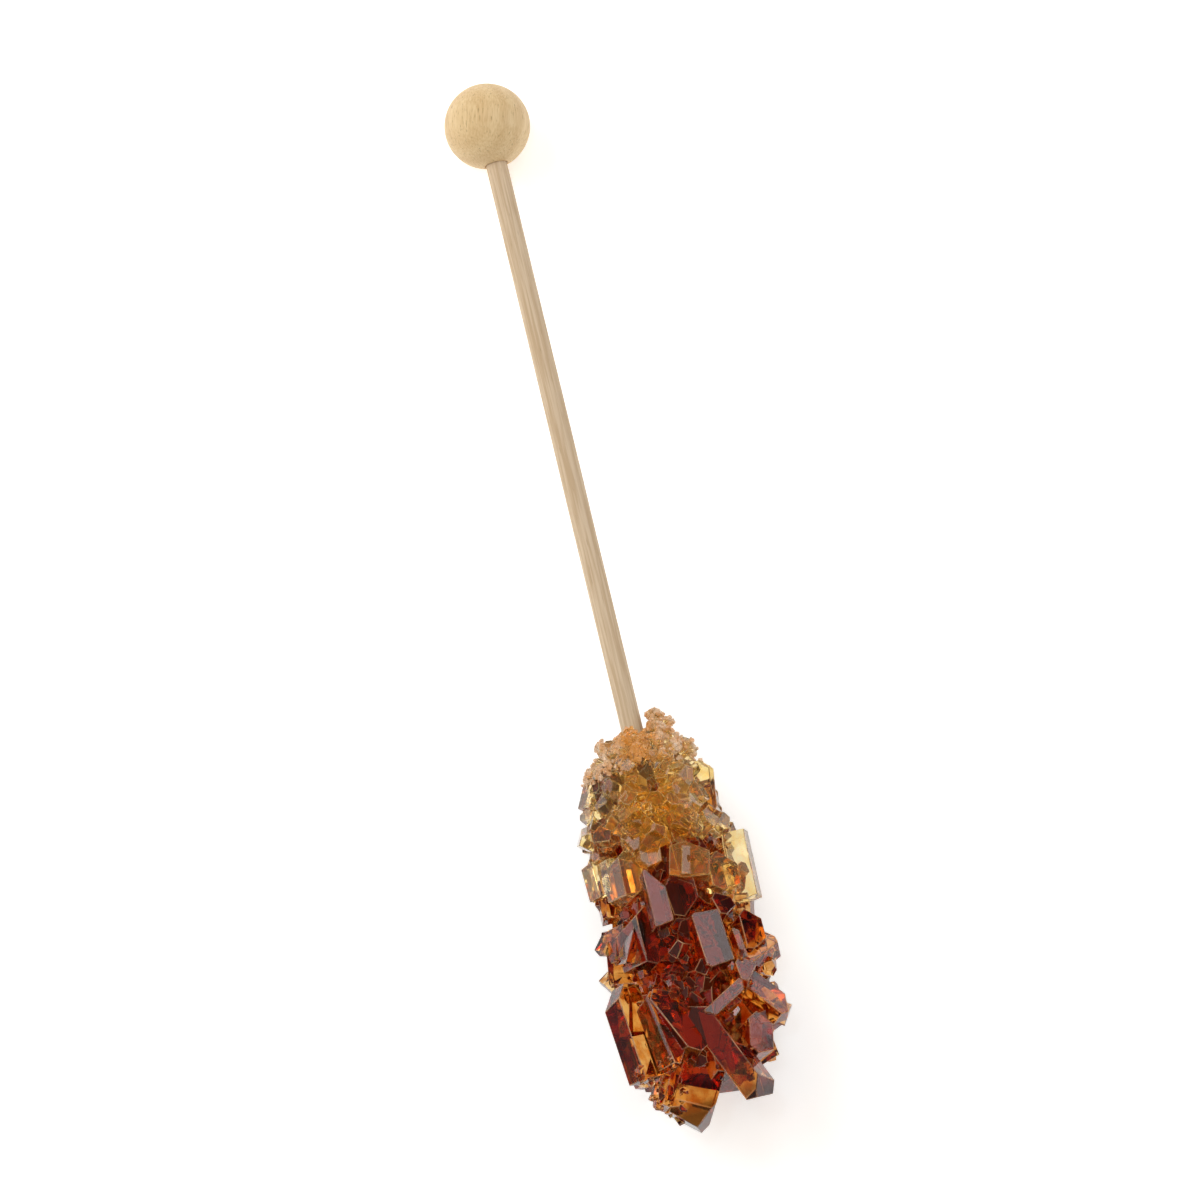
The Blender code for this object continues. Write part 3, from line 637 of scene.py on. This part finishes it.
def turnedBirch(look):
    material, tree, shader = newMaterial("turnedBirch")
    place = stickPlace(tree)
    leaning = addNode(
        tree, "Mapping",
        {"Vector": place, "Location": (0.0, -wood["ballStation"] * mm, 0.0)}
    )
    grainWay = addNode(
        tree, "Mapping", {"Vector": leaning.outputs["Vector"], "Rotation": (0.0, 0.0, math.radians(look["lean"]))}
    )
    marks = {}
    for name in ("grain", "fleck"):
        scaled = addNode(
            tree, "Mapping",
            {"Vector": grainWay.outputs["Vector"], "Scale": perMetre(look[name + "Across"], look[name + "Along"])}
        )
        marks[name] = addNode(
            tree, "TexNoise", {"Vector": scaled.outputs["Vector"], "Scale": 1.0, "Detail": 2.0}
        ).outputs["Fac"]
    fromPith = addNode(
        tree, "Mapping",
        {"Vector": grainWay.outputs["Vector"], "Location": [side * mm for side in look["pithAside"]]}
    )
    rings = addNode(
        tree, "TexWave",
        {"Vector": fromPith.outputs["Vector"], "Scale": 0.5 * math.pi / (10.0 * look["ring"] * mm),
         "Distortion": 1.2, "Detail": 2.0, "Detail Scale": 2.0},
        wave_type="RINGS", rings_direction="Y"
    )
    ringShade = addNode(tree, "MapRange", {"Value": rings.outputs["Fac"], "To Min": 0.0, "To Max": 0.25})
    grainShade = addNode(
        tree, "MapRange", {"Value": marks["grain"], "From Min": 0.35, "From Max": 0.7, "To Min": 0.0, "To Max": 0.5}
    )
    darker = addNode(tree, "Math", {0: ringShade.outputs[0], 1: grainShade.outputs[0]}, operation="ADD")
    timber = addNode(
        tree, "Mix", {"Factor": darker.outputs[0], "A": srgb(look["pale"]), "B": srgb(look["brown"])},
        data_type="RGBA"
    )
    fleck = addNode(
        tree, "MapRange", {"Value": marks["fleck"], "From Min": 0.62, "From Max": 0.72, "To Max": 0.55}
    )
    flecked = addNode(
        tree, "Mix", {"Factor": fleck.outputs[0], "A": timber.outputs["Result"], "B": srgb(look["fleck"])},
        data_type="RGBA"
    )
    bump = addNode(tree, "Bump", {"Height": marks["fleck"], "Strength": 0.4, "Distance": 0.00004})
    dull = addNode(tree, "MapRange", {"Value": marks["grain"], "To Min": 0.42, "To Max": 0.6})
    tree.links.new(flecked.outputs["Result"], shader.inputs["Base Color"])
    tree.links.new(dull.outputs["Result"], shader.inputs["Roughness"])
    tree.links.new(bump.outputs["Normal"], shader.inputs["Normal"])
    return material


def dress(thing, material, slot, *nodes):
    thing.data.materials.clear()
    thing.data.materials.append(material)
    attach(thing, "root")
    if nodes:
        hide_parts(*nodes)


lay = layDown()
chance = random.Random(growth["seed"])
core = coreBlocks(chance)
blocks = core + roundBlocks(chance)
upper = topBlocks(chance) + crustBlocks(chance)
for block in blocks + upper:
    block["worn"] = 0.07
for block in [*frontCrystals.values(), *feetCrystals.values()]:
    block = dict(block, worn=0.11)
    pale = block["at"][1] > 33.0 and block["at"][2] > 0.0
    (upper if block["at"][1] > 42.0 or pale else blocks).append(block)
upper += [block for block in core if block["at"][1] > 44.0]
cluster = grownTogether("candyCluster", [blockMesh(**block) for block in blocks])
upperCluster = grownTogether("upperCrystals", [blockMesh(**block) for block in upper])


def shell(*things):
    body = bmesh.new()
    for thing in things:
        body.from_mesh(thing.data)
    bmesh.ops.triangulate(body, faces=body.faces)
    return body


fine = random.Random(5)
body = shell(cluster, upperCluster)
meshes = [upperCluster.data]
for spot, normal, shut in surfaceSpots(body, fine, 260, (39.5, 54.0)):
    grow = 2.9 - 1.7 * (spot.y - 39.0) / 15.0
    size = [grow * fine.uniform(0.6, 1.0), grow * fine.uniform(0.8, 1.4), grow * fine.uniform(0.6, 1.0)]
    if not (abs(spot.x) > 5.0 and spot.z > -2.5):
        meshes.append(grownOn(spot, normal, size, fine, sunk=0.55, stray=0.35, worn=0.07))
print("upper fine crystals:", len(meshes))
bpy.data.objects.remove(upperCluster)
upperCluster = grownTogether("upperCrystals", meshes)
meshes = [cluster.data]
for spot, normal, shut in surfaceSpots(body, fine, 700, (6.0, 39.0), crevice=0.5):
    grow = fine.uniform(0.6, 1.5)
    size = [grow * fine.uniform(0.6, 1.0), grow * fine.uniform(0.8, 1.5), grow * fine.uniform(0.6, 1.0)]
    meshes.append(grownOn(spot, normal, size, fine, sunk=0.4))
for spot, normal, shut in surfaceSpots(body, fine, 700, (4.0, 42.0), crevice=0.5):
    grow = fine.uniform(0.35, 0.8)
    size = [grow * fine.uniform(0.8, 1.0), grow * fine.uniform(0.9, 1.3), grow * fine.uniform(0.8, 1.0)]
    meshes.append(grownOn(spot, normal, size, fine, sunk=0.3))
for spot, normal, shut in surfaceSpots(body, fine, 260, (6.0, 40.0)):
    if spot.z < 1.0:
        grow = fine.uniform(1.4, 3.0)
        size = [grow * fine.uniform(0.6, 1.0), grow * fine.uniform(0.9, 1.8), grow * fine.uniform(0.6, 1.0)]
        meshes.append(grownOn(spot, normal, size, fine, sunk=0.55, worn=0.05))
for spot, normal, shut in surfaceSpots(body, fine, 900, (9.0, 40.0)):
    if spot.z > 0.0 and math.hypot(spot.x, spot.z) < 0.70 * reach(spot.y):
        grow = fine.uniform(0.9, 2.3)
        size = [grow * fine.uniform(0.6, 1.0), grow * fine.uniform(0.8, 1.6), grow * fine.uniform(0.6, 1.0)]
        meshes.append(grownOn(spot, normal, size, fine, sunk=0.5, worn=0.04))
for spot, normal, shut in surfaceSpots(body, fine, 260, (2.5, 9.0)):
    if spot.x < -4.6 and spot.z > 0.5:
        grow = fine.uniform(0.7, 1.5)
        size = [grow * fine.uniform(0.6, 1.0), grow * fine.uniform(0.8, 1.4), grow * fine.uniform(0.6, 1.0)]
        meshes.append(grownOn(spot, normal, size, fine, sunk=0.55, worn=0.05))
print("crevice crystals:", len(meshes))
bpy.data.objects.remove(cluster)
cluster = grownTogether("candyCluster", meshes)
meshes = []
for spot, normal, shut in surfaceSpots(body, fine, 3200, (50.5, 59.0)):
    grow = fine.uniform(0.3, 0.65)
    size = [grow * fine.uniform(0.7, 1.0), grow * fine.uniform(0.8, 1.2), grow * fine.uniform(0.7, 1.0)]
    meshes.append(grownOn(spot, normal, size, fine, sunk=0.3, stray=0.9))
print("crust grains:", len(meshes))
crust = grownTogether("sugarCrust", meshes)
body.free()
for thing in (cluster, upperCluster, crust):
    cutBelowTable(thing, lay)
    markWorn(thing)
    laid(thing, lay)
dress(cluster, sugar("amberSugar", clusterLook), "sugar", "candy")
dress(upperCluster, sugar("goldenSugar", upperLook), "sugar")
dress(crust, sugar("driedSugar", crustLook), "sugar")

def turnedBody(name, profile, sides):
    # A profile of (radius, station) points turned about the stick's axis
    body = bmesh.new()
    rows = [body.verts.new((radius, station, 0.0)) for radius, station in profile]
    edges = [body.edges.new(pair) for pair in zip(rows, rows[1:])]
    bmesh.ops.spin(
        body, geom=rows + edges, axis=(0, 1, 0), cent=(0, 0, 0), angle=math.tau, steps=sides, use_merge=True
    )
    bmesh.ops.remove_doubles(body, verts=body.verts, dist=0.0005)
    bmesh.ops.recalc_face_normals(body, faces=body.faces)
    mesh = bpy.data.meshes.new(name)
    body.to_mesh(mesh)
    body.free()
    return add(name, mesh)


dowelShape = dict(sides=72, step=0.6, edge=0.25, waver=0.012, bow=0.05)


def makeDowel(shape):
    radius, start, end = wood["dowelRadius"], wood["dowelStart"], wood["dowelEnd"]
    profile = [(0.0, start), (radius - shape["edge"], start), (radius, start + shape["edge"])]
    count = round((end - start) / shape["step"])
    for step in range(1, count):
        profile.append((radius, start + (end - start) * step / count))
    profile += [(radius, end - shape["edge"]), (radius - shape["edge"], end), (0.0, end)]
    dowel = turnedBody("dowel", profile, shape["sides"])
    for vert in dowel.data.vertices:
        # Fine grooves that the die leaves along the grain
        spot = Vector((vert.co.x * 3.0, vert.co.y * 0.05, vert.co.z * 3.0))
        swell = 1.0 + shape["waver"] * noise.noise(spot)
        vert.co.x *= swell
        vert.co.z *= swell
    return dowel


ballShape = dict(sides=128, steps=64, gap=0.06, depth=6.0, mouthEdge=0.10, waver=0.03)


def makeBall(shape):
    radius, station = wood["ballRadius"], wood["ballStation"]
    hole = wood["dowelRadius"] + shape["gap"]
    mouth = math.asin((hole + shape["mouthEdge"]) / radius)
    lip = station - radius * math.cos(mouth)
    bottom = lip + shape["depth"]
    profile = [(0.0, bottom), (hole, bottom), (hole, lip + shape["mouthEdge"])]
    for step in range(shape["steps"] + 1):
        turn = mouth + (math.pi - mouth) * step / shape["steps"]
        profile.append((radius * math.sin(turn), station - radius * math.cos(turn)))
    ball = turnedBody("ball_turned", profile, shape["sides"])
    centre = Vector((0.0, station, 0.0))
    for vert in ball.data.vertices:
        out = vert.co - centre
        if out.length > 0.9 * radius:
            vert.co = centre + out * (1.0 + shape["waver"] / radius * noise.noise(vert.co * 0.25))
    return ball


dowel = makeDowel(dowelShape)
ballPiece = makeBall(ballShape)
for thing in (dowel, ballPiece):
    laid(thing, lay)
    thing.data.shade_smooth()
    thing.data.set_sharp_from_angle(angle=math.radians(35))
for vert in ballPiece.data.vertices:
    vert.co.z = max(vert.co.z, 0.0)
dress(dowel, birchDowel(dowelLook), "dowel_wood", "stick")
dress(ballPiece, turnedBirch(ballLook), "ball_wood", "ball")
print("dowel and ball turned")

# Table, light and camera
bpy.ops.mesh.primitive_plane_add(size=6.0, location=(0.0, 0.0, -0.00005))
table = bpy.context.object
table.name = "table"
table.data.materials.append(glowingTable("#F4F3F1", 0.55))

world = bpy.data.worlds.new("studio")
bpy.context.scene.world = world
world.use_nodes = True
sky = world.node_tree.nodes["Background"]
way = addNode(world.node_tree, "TexCoord").outputs["Generated"]
upward = addNode(world.node_tree, "SeparateXYZ", {"Vector": way}).outputs["Z"]
bright = addNode(
    world.node_tree, "MapRange",
    {"Value": upward, "From Min": 0.3, "From Max": 0.7, "To Min": 0.30, "To Max": 0.06}
)
world.node_tree.links.new(bright.outputs["Result"], sky.inputs["Color"])
sky.inputs["Strength"].default_value = 1.0


def lamp(name, place, size, power):
    # A soft panel that faces the candy, its sides square to the table's
    light = bpy.data.lights.new(name, "AREA")
    light.shape = "RECTANGLE"
    light.size, light.size_y = size
    light.energy = power
    thing = bpy.data.objects.new(name, light)
    bpy.context.scene.collection.objects.link(thing)
    back = Vector(place).normalized()
    across = Vector((0.0, 1.0, 0.0)).cross(back).normalized()
    turn = Matrix((across, back.cross(across), back)).transposed().to_4x4()
    thing.matrix_world = Matrix.Translation(place) @ turn
    return thing


lamp("overhead", (0.18, 0.348, 0.788), (0.52, 0.32), 1.35)
lamp("leftSide", (-0.55, 0.45, 0.65), (0.7, 0.7), 5.6).visible_glossy = False
lamp("glint", (-0.12, -0.05, 0.95), (0.07, 0.07), 0.5)
lamp("rightSide", (0.75, 0.0, 0.45), (0.3, 0.3), 1.6).visible_transmission = False
lamp("nearSide", (-0.1, -0.8, 0.5), (0.3, 0.3), 1.2).visible_glossy = False

camera = bpy.data.cameras.new("camera")
camera.lens = 283.0
camera.sensor_width = 36.0
camera.clip_start = 0.01
eye = bpy.data.objects.new("camera", camera)
bpy.context.scene.collection.objects.link(eye)
bpy.context.scene.camera = eye
facing = Matrix.Rotation(math.radians(-13.07), 4, "Z") @ Matrix.Rotation(math.radians(90 - 77), 4, "X")
eye.matrix_world = Matrix.Translation((0.0, 0.0, 0.008)) @ facing @ Matrix.Translation((0.0, 0.0, 1.3))

scene = bpy.context.scene
scene.view_settings.view_transform = "Standard"
scene.cycles.max_bounces = 32
scene.cycles.transmission_bounces = 24
scene.cycles.glossy_bounces = 8
scene.cycles.transparent_max_bounces = 32
scene.cycles.diffuse_bounces = 4
scene.cycles.caustics_reflective = False
scene.cycles.caustics_refractive = False
scene.cycles.use_denoising = True
